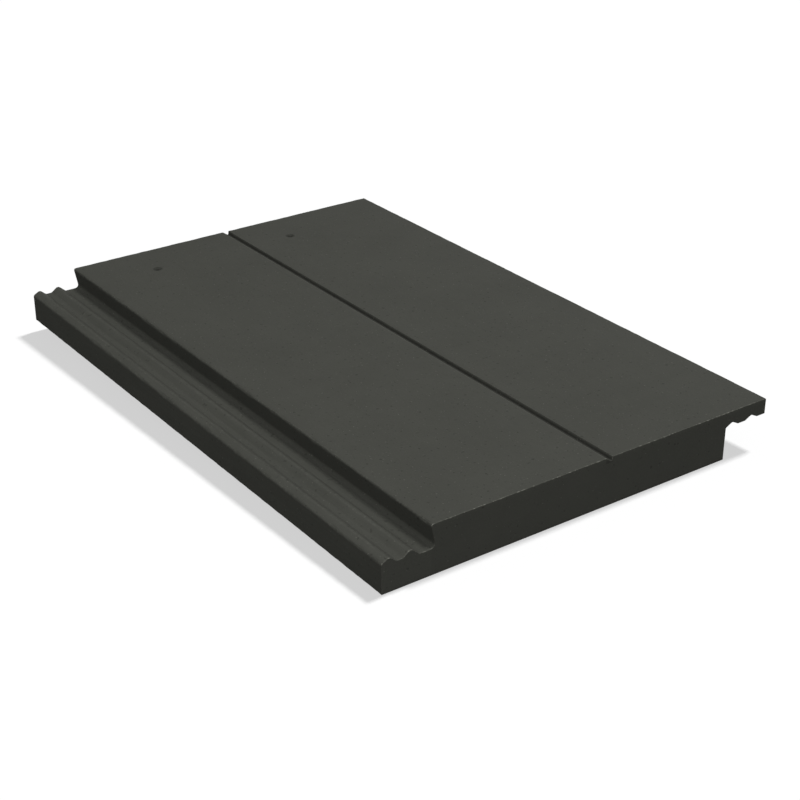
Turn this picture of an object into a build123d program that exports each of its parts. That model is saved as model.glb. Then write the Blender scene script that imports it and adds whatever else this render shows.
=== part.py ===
"""Flat interlocking concrete roof tile with a mock joint, in millimetres.

The tile is one moulded piece. It is drawn level, with x across the roof from the side lock to the
overlapping lip, y up the roof from the tail to the head, and z out of the base. The finished tile is
then laid as it rests on a floor, on its tail edge and the tips of its two nibs.
"""

from build123d import *
import os
from math import atan2, degrees, radians, tan

# Whole tile
length = 420.0
face_width = 245.8          # weathering face, from its left arris to the lip's outer wall
thickness = 31.0
face_round = 1.3            # left arris of the face
base_round = 0.3

# Side lock: two ridges and a water channel, below the face on the left
lock_top = 18.5             # top of the outer wall
lock_round = 2.0
valley_level = 17.4
ridge_rise = 3.8            # to the meeting point of the flanks, above the round crest
ridge_slope = 37.0          # flank towards the outer wall
ridge_back_slope = 42.0     # flank towards the channel
ridge_round = 2.6
valley_width = 4.2
valley_round = 2.0
channel_drop = 1.1
channel_round = 0.8
channel_width = 7.4         # from the foot of the inner ridge to the arris of the face
wall_lean = 2.8             # the channel's wall is undercut by this much
foot_round = 2.5

# Lip: hooks over the side lock of the next tile
joint_gap = 1.0             # left open in the face between two laid tiles
wall_gap = 1.8              # left open below it, beside the next tile's outer wall
lip_gap = 2.35              # over the ridges of the next tile
notch_slope = 27.0
notch_rise = 2.5
near_room = 1.8             # the near notch stands this much inside its ridge, for shunt
far_room = 0.4              # the far notch stands this much outside its ridge
notch_round = 2.0
bead_round = 0.8
lip_round = 0.4             # outer arrises of the lip

# Mock joint in the face
joint_centre = 122.2        # from the left arris of the face
joint_width = 4.8
joint_depth = 3.0
joint_steep = 0.4           # run of the steep right side
joint_left_round = 1.5
joint_right_round = 0.5

# Nail holes
nail_diameter = 5.5
nail_from_head = 34.8
nail_left = 47.7            # from the left arris of the face
nail_spacing = 108.7

# Underside: pockets between a tail bar, a batten seat, ribs and side walls
body_thickness = 13.8
tail_bar = 26.0
head_bar = 78.0
cross_rib = 20.0
joint_rib = 22.0            # under the mock joint
pocket_inset = 4.5          # from the arris of the face to the left pockets
right_wall = 11.5
pocket_draft = 12.0
pocket_corner = 10.0
pocket_round = 3.0
pocket_rows = 2

# Rain checks across the tail bar
check_width = 5.0
check_depth = 2.5
check_pitch = 9.0
check_count = 2
check_draft = 20.0

# Nibs that hook over the batten
nib_drop = 8.0
nib_from_head = 23.0        # bearing side of the nibs to the head
nib_depth = 19.0            # along the tile, at the root
nib_width = 38.0
nib_draft = 8.0
nib_corner = 3.5
nib_back = 5.0              # slope cut off the head side of the tip
nib_round = 1.2
nib_inset = 45.0            # from each side of the body to the middle of a nib

# Side lock, from the outer wall
ridge_front = ridge_rise / tan(radians(ridge_slope))
ridge_back = ridge_rise / tan(radians(ridge_back_slope))
ridge_peak = valley_level + ridge_rise
outer_ridge = ridge_front
inner_ridge = outer_ridge + ridge_back + valley_width + ridge_front
channel_level = valley_level - channel_drop
channel_left = inner_ridge + (ridge_rise + channel_drop) / tan(radians(ridge_back_slope))
lock_width = channel_left + channel_width

# Lip, from the laid place of the next tile
width = lock_width + face_width
cover_width = face_width + joint_gap
body_right = cover_width - wall_gap
notch_peak = ridge_peak + lip_gap
notch_half = notch_rise / tan(radians(notch_slope))
near_notch = cover_width + outer_ridge - near_room
far_notch = cover_width + inner_ridge + far_room
lip_level = notch_peak - notch_rise
lip_root = notch_peak - (near_notch - body_right) * tan(radians(notch_slope))

# Mock joint
joint_left = lock_width + joint_centre - joint_width / 2
joint_right = joint_left + joint_width

# Section, anticlockwise from the lower left: x, z and the radius of each corner
section_corners = [
    (0, 0, base_round),
    (body_right, 0, base_round),
    (body_right, lip_root, bead_round),
    (near_notch, notch_peak, notch_round),
    (near_notch + notch_half, lip_level, bead_round),
    (far_notch - notch_half, lip_level, bead_round),
    (far_notch, notch_peak, notch_round),
    (far_notch + notch_half, lip_level, bead_round),
    (width, lip_level, lip_round),
    (width, thickness, lip_round),
    (joint_right, thickness, joint_right_round),
    (joint_right - joint_steep, thickness - joint_depth, joint_right_round),
    (joint_left, thickness, joint_left_round),
    (lock_width, thickness, face_round),
    (lock_width + wall_lean, channel_level, foot_round),
    (channel_left, channel_level, channel_round),
    (inner_ridge, ridge_peak, ridge_round),
    (inner_ridge - ridge_front, valley_level, valley_round),
    (outer_ridge + ridge_back, valley_level, valley_round),
    (outer_ridge, ridge_peak, ridge_round),
    (0, lock_top, lock_round),
]

# Underside layout
pocket_left = lock_width + pocket_inset
pocket_right = body_right - right_wall
rib_middle = (joint_left + joint_right) / 2
pocket_depth = thickness - body_thickness
pocket_length = (length - tail_bar - head_bar - (pocket_rows - 1) * cross_rib) / pocket_rows
pocket_spans = [
    (pocket_left, rib_middle - joint_rib / 2),
    (rib_middle + joint_rib / 2, pocket_right),
]
hook_y = length - nib_from_head
nib_heel = hook_y + nib_depth
nib_places = [nib_inset, body_right - nib_inset]

with BuildPart() as level_tile:
    # Body, side lock and lip run the whole length
    with BuildSketch(Plane.XZ):
        with BuildLine():
            FilletPolyline(
                *[(x, z) for x, z, radius in section_corners],
                radius=[radius for x, z, radius in section_corners],
                close=True,
            )
        make_face()
    extrude(amount=-length)

    # Weight-saving pockets, drafted to leave the mould
    with BuildSketch(Plane.XY):
        for start, end in pocket_spans:
            for row in range(pocket_rows):
                middle_y = tail_bar + pocket_length / 2 + row * (pocket_length + cross_rib)
                with Locations(((start + end) / 2, middle_y)):
                    RectangleRounded(end - start, pocket_length, pocket_corner)
    extrude(amount=pocket_depth, taper=pocket_draft, mode=Mode.SUBTRACT)
    pocket_roofs = faces().filter_by(Axis.Z).filter_by(
        lambda face: abs(face.center().Z - pocket_depth) < 0.01
    )
    fillet(pocket_roofs.edges(), radius=pocket_round)

    # Rain checks
    with BuildSketch(Plane.XY):
        with Locations(((pocket_left + pocket_right) / 2, tail_bar / 2)):
            with GridLocations(0, check_pitch, 1, check_count):
                SlotOverall(pocket_right - pocket_left, check_width)
    extrude(amount=check_depth, taper=check_draft, mode=Mode.SUBTRACT)

    # Nibs, drawn from below, where y runs the other way
    with BuildSketch(Plane(origin=(0, 0, 0), x_dir=(1, 0, 0), z_dir=(0, 0, -1))):
        for middle_x in nib_places:
            with Locations((middle_x, -hook_y - nib_depth / 2)):
                RectangleRounded(nib_width, nib_depth, nib_corner)
    extrude(amount=nib_drop, taper=nib_draft)
    with BuildSketch(Plane.YZ):
        with BuildLine():
            Polyline(
                (nib_heel - nib_back, -nib_drop),
                (nib_heel, -nib_drop),
                (nib_heel, -nib_drop + nib_back),
                close=True,
            )
        make_face()
    extrude(amount=body_right, mode=Mode.SUBTRACT)
    fillet(faces().sort_by(Axis.Z)[:2].edges(), radius=nib_round)

    # Nail holes through the batten seat
    with Locations(Plane.XY.offset(thickness)):
        with Locations(
            (lock_width + nail_left, length - nail_from_head),
            (lock_width + nail_left + nail_spacing, length - nail_from_head),
        ):
            Hole(radius=nail_diameter / 2)

# The tile rests on its tail edge and on the near side of the nib tips
nib_contact = hook_y + nib_drop * tan(radians(nib_draft)) + nib_round
rest_tilt = degrees(atan2(nib_drop, nib_contact))

with BuildPart() as tilted_tile:
    add(level_tile.part, rotation=(rest_tilt, 0, 0))
footprint = tilted_tile.part.bounding_box()

with BuildPart() as roof_tile:
    with Locations((-footprint.center().X, -footprint.center().Y, -footprint.min.Z)):
        add(tilted_tile.part)

os.makedirs("parts", exist_ok=True)
roof_tile.part.label = "roof_tile"
export_step(roof_tile.part, "parts/roof_tile.step")
print("overall", round(length, 1), round(width, 1), round(thickness, 1), "cover", round(cover_width, 1))
print("tilt", round(rest_tilt, 4), "offset", footprint.center(), footprint.min.Z)
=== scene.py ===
"""A flat interlocking concrete roof tile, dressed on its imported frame. Lengths are in metres.

The tile lies on its tail edge and its nibs, so its face leans a little. Its finish is worked out on the
level tile, as it was drawn: x from the side lock to the lip, y from the tail to the head, z up.
"""

from math import atan2, cos, pi, radians, sin, tan

import bmesh
import bpy
from mathutils import Matrix, Vector, noise


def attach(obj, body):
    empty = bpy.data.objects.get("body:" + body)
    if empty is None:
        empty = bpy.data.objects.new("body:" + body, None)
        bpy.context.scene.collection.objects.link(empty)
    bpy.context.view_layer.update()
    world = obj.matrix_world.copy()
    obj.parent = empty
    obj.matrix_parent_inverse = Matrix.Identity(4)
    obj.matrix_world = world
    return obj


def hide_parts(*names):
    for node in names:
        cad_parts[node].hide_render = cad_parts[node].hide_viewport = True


MM = 0.001
ACROSS = 0
ALONG = 1
UP = 2

# The level tile
LENGTH = 420 * MM
WIDTH = 277.148 * MM
THICKNESS = 31.0 * MM
LOCK_WIDTH = 31.348 * MM
LOCK_LOW = 12 * MM                # under the whole upper side of the lock
JOINT_LEFT = 151.148 * MM
JOINT_RIGHT = 155.948 * MM
NAIL_HOLES = [(79.048 * MM, 385.2 * MM), (187.748 * MM, 385.2 * MM)]

# How it lies
NIB_DROP = 8 * MM
NIB_CONTACT = 399.324 * MM
TILT = atan2(NIB_DROP, NIB_CONTACT)
MIDDLE_Y = (LENGTH * cos(TILT) - THICKNESS * sin(TILT)) / 2
LIE = Matrix.Translation((-WIDTH / 2, -MIDDLE_Y, 0)) @ Matrix.Rotation(TILT, 4, "X")

# Camera of the photograph, in the level tile's frame, with its angles in degrees
CAMERA_PLACE = (-399.78 * MM, -575.39 * MM, 470.45 * MM)
CAMERA_AZIMUTH = -35.555
CAMERA_ELEVATION = 27.085
CAMERA_ROLL = 0.04
CAMERA_LENS = 73.776
CAMERA_SENSOR = 36

# Cuts that carry the relief
MERGE = 0.002 * MM
FLAT_ANGLE = 0.4                  # degrees, flatter bends are dissolved before the cuts
GUARD = 2.5 * MM                  # keeps the wear of an arris off the flat beside it
STEP = 2.0 * MM
END_ZONE = 4.0 * MM
END_STEP = 1.6 * MM
END_CUTS = [1.2 * MM, 2.4 * MM]
SMOOTH_ANGLE = 50

# Eased arrises of the two ends: distance from the end, and how far the skin stands back there
END_EASE = [(0, 0.14 * MM), (0.05 * MM, 0.07 * MM), (0.12 * MM, 0.02 * MM), (0.25 * MM, 0)]
END_FACING = 0.9                  # faces that look along the tile more than this are the ends

# Wear: how far the arrises stand back, between nothing and the depth, from noise of two sizes
FULL_ARRIS = 0.35 / MM            # bend of a fully sharp arris
WEAR_DEPTH = 0.50 * MM
WEAR_SIZE = 7.0 * MM
WEAR_FINE_SIZE = 2.6 * MM
WEAR_MEAN = 0.15
WEAR_BROAD = 1.6
WEAR_FINE = 0.5
END_SHARE = 0.5
JOINT_SHARE = 0.3

# The lock's cast surface stands back by up to the depth, so that it isn't quite even
CAST_DEPTH = 0.18 * MM
CAST_MEAN = 0.5
CAST_FINE = 0.4

# Colours, and how much darker or paler some places are: pits by their own tone, the lock by painted light,
# and hollows, nail-hole rims and the joint by painted shade
TOP_COLOUR = (0.0642, 0.0656, 0.0571)
PALE_COLOUR = (0.235, 0.235, 0.205, 1)
WHITE = (1, 1, 1, 1)
# painted light: the lock is made paler to lift the shade in its hollows
LOCK_PAINTED_LIGHT = 0.07
PIT_DARKER = 0.25
# painted shade in the hollows and creases
HOLLOW_PAINTED_SHADE = 0.05
# painted shade round the nail holes, which makes them look wider
NAIL_RIM_PAINTED_SHADE = 0.25
# painted shade in the joint's groove
JOINT_PAINTED_SHADE = 0.27
MOTTLE = 0.12
CLOUDING = 0.08
GRAIN = 0.13
STREAK = 0.04
LOCK_STREAK = 0.14

# Forms in the concrete, in millimetres
MOTTLE_SIZE = 40
CLOUD_SIZE = 10
RIPPLE_SIZE = 3.5
PIT_SIZE = 2.2
BROKEN_SIZE = 1.9
STREAK_SIZE = 1.6
STREAK_DRAW = 0.027               # share of a length along the tile that the streaks read
GRAIN_SIZE = 1.2
PALE_GRAIN_SIZE = 1.1

# Where noise or a distance in millimetres becomes a mask: none at the first, full at the second
HOLLOW_MASK = (-0.1, -0.9)
PIT_MASK = (-0.22, -0.32)
PALE_GRAIN_MASK = (0.27, 0.36)
BROKEN_MASK = (0.0, 0.16)
NAIL_RIM_MASK = (4.0, 2.8)        # from the middle of a nail hole
LOCK_EDGE = 1.0
TAIL_FACE_MASK = (0.01, 0.06)     # from the tail, leaves the tail's own face plain
TAIL_ARRIS_MASK = (1.0, 0.4)
# where the joint's painted shade lies
JOINT_SHADE_TOP = (0.5, 2.0)            # below the face
JOINT_SHADE_BOTTOM = (4.0, 3.0)
JOINT_SHADE_EDGE = 0.6
JOINT_SHADE_RIGHT_EDGE = 0.2

# Pale arrises, as shares of the pale colour: worn grains, which on the tail arris are also a painted
# highlight
TAIL_WEAR_AND_HIGHLIGHT = 0.15
TAIL_BROKEN_WEAR_AND_HIGHLIGHT = 0.85
LONG_ARRIS = 0.08
PALE_GRAIN = 0.30

# Relief and gloss of the skin
GRAIN_HEIGHT = 0.06
RIPPLE_HEIGHT = 0.10
PIT_HEIGHT = 0.08
PALE_GRAIN_HEIGHT = 0.03
BUMP_STRENGTH = 0.5
ROUGH = 0.9
GRAIN_ROUGH = 0.08
PIT_ROUGH = 0.05
SPECULAR = 0.03

# Lamps: share of the light on a level face, place over the tile's middle, spread in degrees
WORLD_LIGHT = 0.12
TILE_LAMPS = [
    ("overhead_lamp", 0.415, (0.58, -1.0, 3.4), 16),
    ("side_lamp", 0.25, (-1.7, -0.85, 3.4), 20),
    ("low_lamp", 0.10, (-1.30, -2.27, 1.0), 40),
    ("back_lamp", 0.05, (2.7, 2.0, 0.4), 12),
]
FLOOR_LAMP = ("shadow_lamp", 1.50, (101.5, 13, 170), 9)

# The floor gives the tile little light, and shows white where it isn't in shadow
FLOOR_SIZE = 8
FLOOR_BOUNCE = 0.005
FLOOR_SHOWN = 0.25
FLOOR_GLOW = 0.605


class Socket:
    """One output in a node tree. Sums written with it become Math nodes."""

    def __init__(self, tree, output=None):
        self.tree = tree
        self.output = output

    def node(self, kind, settings, values, give=0):
        """Adds a node, sets it, fills or links its inputs, and gives one of its outputs, if it has any."""
        made = self.tree.nodes.new(kind)
        for name, value in settings.items():
            setattr(made, name, value)
        for name, value in values.items():
            if isinstance(value, Socket):
                self.tree.links.new(value.output, made.inputs[name])
            else:
                made.inputs[name].default_value = value
        return Socket(self.tree, made.outputs[give]) if made.outputs else None

    def math(self, operation, first, second):
        return self.node("ShaderNodeMath", {"operation": operation}, {0: first, 1: second})

    def __add__(self, other):
        return self.math("ADD", self, other)

    def __radd__(self, other):
        return self.math("ADD", other, self)

    def __sub__(self, other):
        return self.math("SUBTRACT", self, other)

    def __rsub__(self, other):
        return self.math("SUBTRACT", other, self)

    def __mul__(self, other):
        return self.math("MULTIPLY", self, other)

    def __rmul__(self, other):
        return self.math("MULTIPLY", other, self)

    def larger(self, other):
        return self.math("MAXIMUM", self, other)

    def band(self, start, end):
        """0 before start, 1 past end, and smooth between. Either end may be the higher one."""
        return self.node("ShaderNodeMapRange", {"interpolation_type": "SMOOTHSTEP"},
                         {"Value": self, "From Min": start, "From Max": end})

    def vector(self, operation, values, give=0):
        return self.node("ShaderNodeVectorMath", {"operation": operation}, values, give)


def blank_tree(owner):
    """Clears the nodes of a material or a world, and gives a socket to start from."""
    owner.use_nodes = True
    owner.node_tree.nodes.clear()
    return Socket(owner.node_tree)


def seen_directly(start):
    """1 for rays that see the background as it looks, and 0 for the light that it gives the tile."""
    camera, glossy, through = [
        start.node("ShaderNodeLightPath", {}, {}, name)
        for name in ("Is Camera Ray", "Is Glossy Ray", "Is Transmission Ray")
    ]
    return camera.larger(glossy).larger(through)


def build_camera():
    """Stands where the photograph was taken from, carried with the tile from level to lying."""
    data = bpy.data.cameras.new("camera")
    data.lens = CAMERA_LENS
    data.sensor_width = CAMERA_SENSOR
    camera = bpy.data.objects.new("camera", data)
    bpy.context.scene.collection.objects.link(camera)
    azimuth = Matrix.Rotation(radians(CAMERA_AZIMUTH), 4, "Z")
    elevation = Matrix.Rotation(radians(90 - CAMERA_ELEVATION), 4, "X")
    roll = Matrix.Rotation(radians(CAMERA_ROLL), 4, "Z")
    camera.matrix_world = LIE @ Matrix.Translation(CAMERA_PLACE) @ azimuth @ elevation @ roll
    bpy.context.scene.camera = camera


def build_floor():
    """A plain pale floor that keeps the tile's shadow."""
    bpy.ops.mesh.primitive_plane_add(size=FLOOR_SIZE, location=(0, 0, 0))
    floor = bpy.context.object
    floor.name = "floor"
    floor.data.materials.append(floor_material())
    return floor


def floor_material():
    """White to the eye, and dark to the tile, which it would otherwise light from below."""
    material = bpy.data.materials.new("pale_floor")
    start = blank_tree(material)
    seen = seen_directly(start)
    plain, shown = [
        start.node("ShaderNodeBsdfDiffuse", {}, {"Color": (grey, grey, grey, 1)})
        for grey in (FLOOR_BOUNCE, FLOOR_SHOWN)
    ]
    glow = start.node("ShaderNodeEmission", {}, {"Strength": FLOOR_GLOW})
    both = start.node("ShaderNodeAddShader", {}, {0: shown, 1: glow})
    mix = start.node("ShaderNodeMixShader", {}, {0: seen, 1: plain, 2: both})
    start.node("ShaderNodeOutputMaterial", {}, {"Surface": mix})
    return material


def build_light(tile, floor):
    """Soft light all round, four lamps for the tile, and one that throws its shadow on the floor."""
    world = bpy.data.worlds.new("studio")
    bpy.context.scene.world = world
    start = blank_tree(world)
    soft, white = [
        start.node("ShaderNodeBackground", {}, {"Color": WHITE, "Strength": strength})
        for strength in (WORLD_LIGHT, 1.0)
    ]
    mix = start.node("ShaderNodeMixShader", {}, {0: seen_directly(start), 1: soft, 2: white})
    start.node("ShaderNodeOutputWorld", {}, {"Surface": mix})

    for lamp in TILE_LAMPS:
        add_lamp(tile, *lamp)
    add_lamp(floor, *FLOOR_LAMP)


def add_lamp(lit, name, light, place, spread):
    """A round soft lamp for one piece. A level face in light of 1 renders its colour as written."""
    place = Vector(place)
    lamp = bpy.data.lights.new(name, "AREA")
    lamp.shape = "DISK"
    lamp.size = 2 * place.length * tan(radians(spread) / 2)
    lamp.energy = light * pi ** 2 * place.length ** 3 / place.z
    holder = bpy.data.objects.new(name, lamp)
    bpy.context.scene.collection.objects.link(holder)
    holder.location = place
    holder.rotation_euler = place.to_track_quat("Z", "Y").to_euler()
    receivers = bpy.data.collections.new("lit_by_" + name)
    receivers.objects.link(lit)
    holder.light_linking.receiver_collection = receivers


def clamp(value, low=0, high=1):
    return min(max(value, low), high)


def steps(start, end, step):
    """Evenly spaced places between start and end, both left out."""
    count = round((end - start) / step)
    return [start + (end - start) * index / count for index in range(1, count)]


def from_end(place):
    """How far a point is from the nearer end of the level tile."""
    return min(place.y, LENGTH - place.y)


def select_faces(mesh, wanted):
    """Selects the faces whose middle satisfies wanted, and nothing else."""
    bpy.ops.object.mode_set(mode="OBJECT")
    for part in (mesh.vertices, mesh.edges, mesh.polygons):
        for item in part:
            item.select = False
    for face in mesh.polygons:
        face.select = wanted(face.center)
    bpy.ops.object.mode_set(mode="EDIT")
    bpy.ops.mesh.select_mode(type="FACE")


def cut_at(mesh, axis, places, wanted=None):
    """Cuts the mesh, or the faces that are wanted, by planes across one axis."""
    normal = Vector((0, 0, 0))
    normal[axis] = 1
    for place in places:
        if wanted:
            select_faces(mesh, wanted)
        else:
            bpy.ops.mesh.select_all(action="SELECT")
        bpy.ops.mesh.bisect(plane_co=normal * place, plane_no=normal)


def ease_ends(form):
    """Moves the rings of points near each end inwards, which eases the arrises of the end faces."""
    moves = []
    for point in form.verts:
        for distance, inset in END_EASE:
            if abs(from_end(point.co) - distance) < 4 * MERGE and inset:
                outwards = Vector((0, 0, 0))
                for face in point.link_faces:
                    if abs(face.normal.y) < END_FACING:
                        outwards += face.normal * face.calc_area() ** 0.5
                outwards.y = 0
                if outwards.length:
                    moves.append((point, outwards.normalized() * inset))
    for point, move in moves:
        point.co -= move


def mark_arrises(form):
    """Marks each point from 1 on a sharp arris, over 0 on the flat, to -1 in a sharp hollow."""
    form.normal_update()
    form.verts.index_update()
    mark = form.verts.layers.float.new("arris")
    bend = [0.0] * len(form.verts)
    area = [0.0] * len(form.verts)
    for edge in form.edges:
        turn = edge.calc_length() * edge.calc_face_angle_signed(0) / 4
        for point in edge.verts:
            bend[point.index] += turn
    for face in form.faces:
        share = face.calc_area() / len(face.verts)
        for point in face.verts:
            area[point.index] += share
    for point in form.verts:
        sharp = bend[point.index] / max(area[point.index], MERGE * MERGE) / FULL_ARRIS
        # At the ends only the arrises along the top are marked
        if from_end(point.co) < END_ZONE / 2:
            sharp *= min(2 * point.normal.z, 1)
        point[mark] = clamp(sharp, -1)
    return mark


def wear_arrises(form, mark):
    """Wears the marked arrises back, and makes the lock's cast surface a little uneven."""
    for point in form.verts:
        broad = noise.noise(point.co / WEAR_SIZE)
        fine = noise.noise(point.co / WEAR_FINE_SIZE)
        depth = clamp(WEAR_MEAN + WEAR_BROAD * broad + WEAR_FINE * fine) * WEAR_DEPTH * max(point[mark], 0)
        if JOINT_LEFT - GUARD < point.co.x < JOINT_RIGHT + GUARD:
            depth *= JOINT_SHARE
        if point.co.x < LOCK_WIDTH + GUARD and point.co.z > LOCK_LOW:
            depth += clamp(CAST_MEAN - broad + CAST_FINE * fine) * CAST_DEPTH
        way = point.normal.copy()
        if from_end(point.co) < END_ZONE:
            way *= END_SHARE
            way.y = 0
        point.co -= way * depth


def build_tile(node):
    """A finer copy of the tile, with eased arrises at both ends and worn long arrises."""
    bpy.ops.object.select_all(action="DESELECT")
    tile = bpy.data.objects.new("tile", node.data.copy())
    bpy.context.scene.collection.objects.link(tile)
    bpy.context.view_layer.objects.active = tile
    tile.select_set(True)
    mesh = tile.data
    mesh.transform(LIE.inverted())

    bpy.ops.object.mode_set(mode="EDIT")
    bpy.ops.mesh.select_all(action="SELECT")
    bpy.ops.mesh.remove_doubles(threshold=MERGE)
    bpy.ops.mesh.dissolve_limited(angle_limit=radians(FLAT_ANGLE))

    cut_at(mesh, ACROSS, [LOCK_WIDTH + GUARD, JOINT_LEFT - GUARD, JOINT_RIGHT + GUARD, WIDTH - GUARD])
    cut_at(mesh, UP, [GUARD, THICKNESS - GUARD])
    cut_at(mesh, ALONG, [END_ZONE, LENGTH - END_ZONE])
    cut_at(mesh, ACROSS, steps(0, WIDTH, END_STEP), lambda middle: from_end(middle) < END_ZONE)
    near_ends = [distance for distance, inset in END_EASE if distance] + END_CUTS
    cut_at(mesh, ALONG, near_ends + [LENGTH - place for place in near_ends])
    cut_at(mesh, ALONG, steps(END_ZONE, LENGTH - END_ZONE, STEP))
    bpy.ops.object.mode_set(mode="OBJECT")

    form = bmesh.new()
    form.from_mesh(mesh)
    ease_ends(form)
    wear_arrises(form, mark_arrises(form))
    form.to_mesh(mesh)
    form.free()

    mesh.materials.clear()
    mesh.materials.append(concrete_material())
    bpy.ops.object.shade_smooth_by_angle(angle=radians(SMOOTH_ANGLE))
    even = tile.modifiers.new("even_normals", "WEIGHTED_NORMAL")
    even.keep_sharp = True
    bpy.ops.object.modifier_apply(modifier=even.name)
    tile.data.transform(LIE)
    return tile


def concrete_material():
    """Coated dark concrete: soft mottling, fine grain, drawn streaks, pale grains on worn arrises, which
    on the tail arris are also a painted highlight; painted light lifts the lock, and painted shade darkens
    hollows, nail-hole rims and the joint.
    """
    material = bpy.data.materials.new("concrete")
    start = blank_tree(material)
    level = start.node("ShaderNodeMapping", {}, {
        "Vector": start.node("ShaderNodeTexCoord", {}, {}, "Object"),
        "Location": LIE.inverted().translation / MM,
        "Rotation": (-TILT, 0, 0),
        "Scale": (1 / MM, 1 / MM, 1 / MM),
    })
    drawn = level.vector("MULTIPLY", {0: level, 1: (1, STREAK_DRAW, 1)})
    flat = level.vector("MULTIPLY", {0: level, 1: (1, 1, 0)})
    across, along, up = [
        start.node("ShaderNodeSeparateXYZ", {}, {"Vector": level}, name) for name in "XYZ"
    ]
    below_face = THICKNESS / MM - up

    def cloud(size, detail=2.0, vector=level):
        """Noise from about -0.5 to 0.5, with forms of one size in millimetres."""
        values = {"Vector": vector, "Scale": 1 / size, "Detail": detail}
        return start.node("ShaderNodeTexNoise", {}, values) - 0.5

    # Places
    mark = start.node("ShaderNodeAttribute", {"attribute_name": "arris"}, {}, "Fac")
    arris = mark.larger(0)
    hollow = mark.band(*HOLLOW_MASK)
    on_lock = across.band(LOCK_WIDTH / MM + LOCK_EDGE, LOCK_WIDTH / MM - LOCK_EDGE)
    on_tail_arris = along.band(*TAIL_FACE_MASK) * along.band(*TAIL_ARRIS_MASK)
    # where painted shade rings the nail holes
    left_rim_shade, right_rim_shade = [
        level.vector("DISTANCE", {0: flat, 1: (x / MM, y / MM, 0)}, "Value").band(*NAIL_RIM_MASK)
        for x, y in NAIL_HOLES
    ]
    # the joint's groove, which gets painted shade
    in_joint = across.band(JOINT_LEFT / MM - JOINT_SHADE_EDGE, JOINT_LEFT / MM + JOINT_SHADE_EDGE)
    in_joint = in_joint * across.band(JOINT_RIGHT / MM + JOINT_SHADE_EDGE, JOINT_RIGHT / MM - JOINT_SHADE_RIGHT_EDGE)
    joint_shade = in_joint * below_face.band(*JOINT_SHADE_TOP) * below_face.band(*JOINT_SHADE_BOTTOM)

    # Grain
    grain = cloud(GRAIN_SIZE, 3.0)
    pits = cloud(PIT_SIZE, 0.0).band(*PIT_MASK)
    pale_grains = cloud(PALE_GRAIN_SIZE, 0.0).band(*PALE_GRAIN_MASK)
    broken = cloud(BROKEN_SIZE).band(*BROKEN_MASK)

    # Colour
    # the concrete's own tone, with painted light that lifts the lock
    shade = 1 + LOCK_PAINTED_LIGHT * on_lock + cloud(MOTTLE_SIZE, 1.0) * MOTTLE + cloud(CLOUD_SIZE) * CLOUDING
    shade = shade + grain * GRAIN + cloud(STREAK_SIZE, 1.0, drawn) * (STREAK + LOCK_STREAK * on_lock)
    # painted shade in the hollows
    shade = shade * (1 - PIT_DARKER * pits) * (1 - HOLLOW_PAINTED_SHADE * hollow)
    # painted shade at the nail-hole rims and in the joint's groove
    shade = shade * (1 - NAIL_RIM_PAINTED_SHADE * left_rim_shade.larger(right_rim_shade)) * (1 - JOINT_PAINTED_SHADE * joint_shade)
    coat = level.vector("SCALE", {0: TOP_COLOUR, "Scale": shade})
    # pale worn grains, with a painted highlight along the tail arris
    pale = arris * on_tail_arris * (TAIL_WEAR_AND_HIGHLIGHT + TAIL_BROKEN_WEAR_AND_HIGHLIGHT * broken)
    pale = pale.larger(pale_grains * PALE_GRAIN).larger(arris * broken * LONG_ARRIS)
    colour = start.node("ShaderNodeMix", {"data_type": "RGBA"}, {0: pale, 6: coat, 7: PALE_COLOUR}, 2)

    # Relief
    height = grain * GRAIN_HEIGHT + cloud(RIPPLE_SIZE) * RIPPLE_HEIGHT
    height = height - pits * PIT_HEIGHT + pale_grains * PALE_GRAIN_HEIGHT
    bump = start.node("ShaderNodeBump", {}, {
        "Height": height,
        "Distance": 1 * MM,
        "Strength": BUMP_STRENGTH,
    })

    shader = start.node("ShaderNodeBsdfPrincipled", {}, {
        "Base Color": colour,
        "Roughness": ROUGH + grain * GRAIN_ROUGH - pits * PIT_ROUGH,
        "Specular IOR Level": SPECULAR,
        "Normal": bump,
    })
    start.node("ShaderNodeOutputMaterial", {}, {"Surface": shader})
    return material


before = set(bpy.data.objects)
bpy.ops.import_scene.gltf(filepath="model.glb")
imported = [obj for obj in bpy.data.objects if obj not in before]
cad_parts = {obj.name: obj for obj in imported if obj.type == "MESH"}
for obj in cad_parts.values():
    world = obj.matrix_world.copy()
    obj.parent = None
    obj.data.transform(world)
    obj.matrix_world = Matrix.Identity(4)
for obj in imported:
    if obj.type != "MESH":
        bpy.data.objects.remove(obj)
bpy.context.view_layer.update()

build_camera()
tile = build_tile(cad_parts["roof_tile"])
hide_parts("roof_tile")
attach(tile, "root")
build_light(tile, build_floor())

bpy.context.scene.view_settings.view_transform = "Standard"
